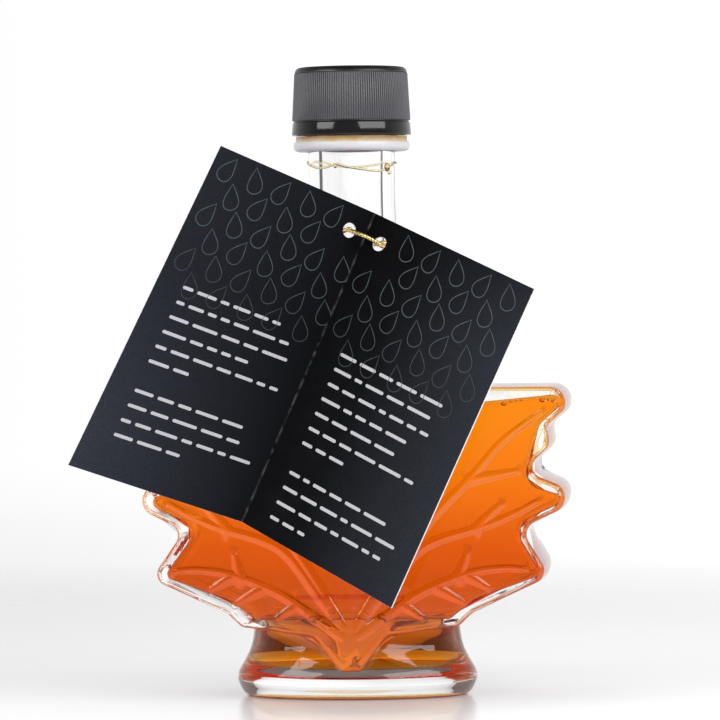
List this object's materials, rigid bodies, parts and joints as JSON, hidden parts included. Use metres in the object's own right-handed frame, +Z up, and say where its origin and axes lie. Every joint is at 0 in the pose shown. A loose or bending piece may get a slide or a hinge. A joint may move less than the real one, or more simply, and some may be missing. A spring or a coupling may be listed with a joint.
{
  "type": "maple syrup bottle",
  "caption": "Clear glass bottle shaped like a maple leaf on an oval foot, full of amber syrup, with a ribbed black screw cap and an open folded card tag on a gold elastic.",
  "frame": {"origin": "middle of the foot's flat underside, on the neck's axis", "axes": "+Z up along the neck, -Y out of the leaf's front face, where the tag hangs, +X to the right seen from the front"},
  "size_m": [0.1214, 0.0785, 0.1599],
  "materials": {
    "glass": "clear blown glass, glossy, slightly wavy",
    "syrup": "clear amber syrup",
    "cap_ribbed": "satin black plastic with fine upright ribs",
    "cap_band": "smooth glossy black plastic",
    "pour_ring": "translucent white plastic, stained amber where it meets the band",
    "card": "printed near-black card with a soft sheen, pale core at its cut edges",
    "gold_elastic": "twisted metallic gold elastic"
  },
  "bodies": {
    "root": {"bottle": "glass", "syrup": "syrup", "cap": "cap_ribbed", "cap_band": "cap_band", "pour_ring": "pour_ring", "tag": "card", "tag_cord": "gold_elastic"}
  },
  "joints": []
}
